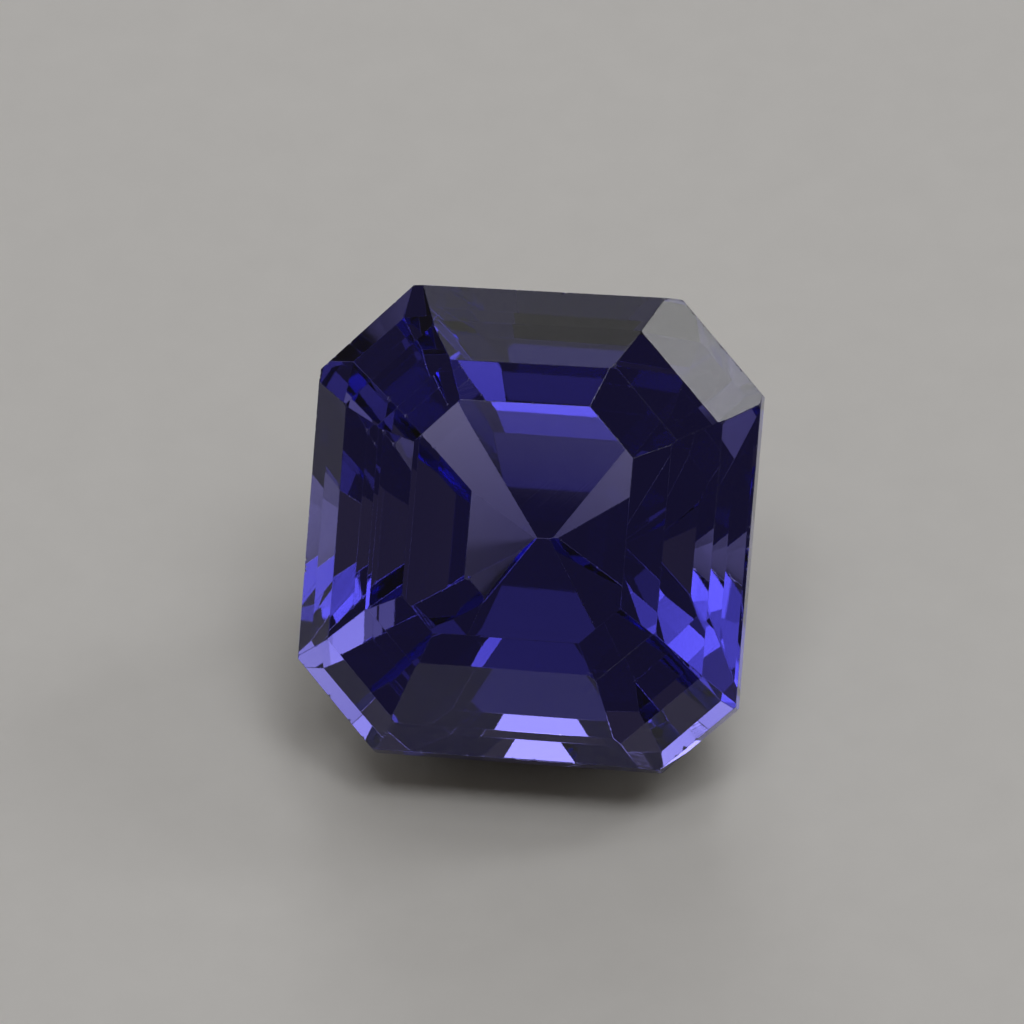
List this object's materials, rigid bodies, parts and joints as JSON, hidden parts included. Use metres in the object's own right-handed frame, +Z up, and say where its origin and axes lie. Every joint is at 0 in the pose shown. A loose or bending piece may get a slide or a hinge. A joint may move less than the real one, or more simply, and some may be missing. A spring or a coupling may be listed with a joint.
{
  "type": "cut amethyst, square step cut",
  "caption": "Loose violet-blue amethyst in a square step cut with cropped corners, lying on one facet of its underside with the table facing forward and up.",
  "frame": {"origin": "on the surface the stone lies on, below the middle of its bounding box", "axes": "+Z up, away from that surface; the table faces towards -Y and up; +X along the facet steps, to the right as the table is looked at"},
  "size_m": [0.009, 0.0078, 0.0073],
  "materials": {
    "amethyst": "polished"
  },
  "bodies": {
    "root": {"stone": "amethyst"}
  },
  "joints": []
}
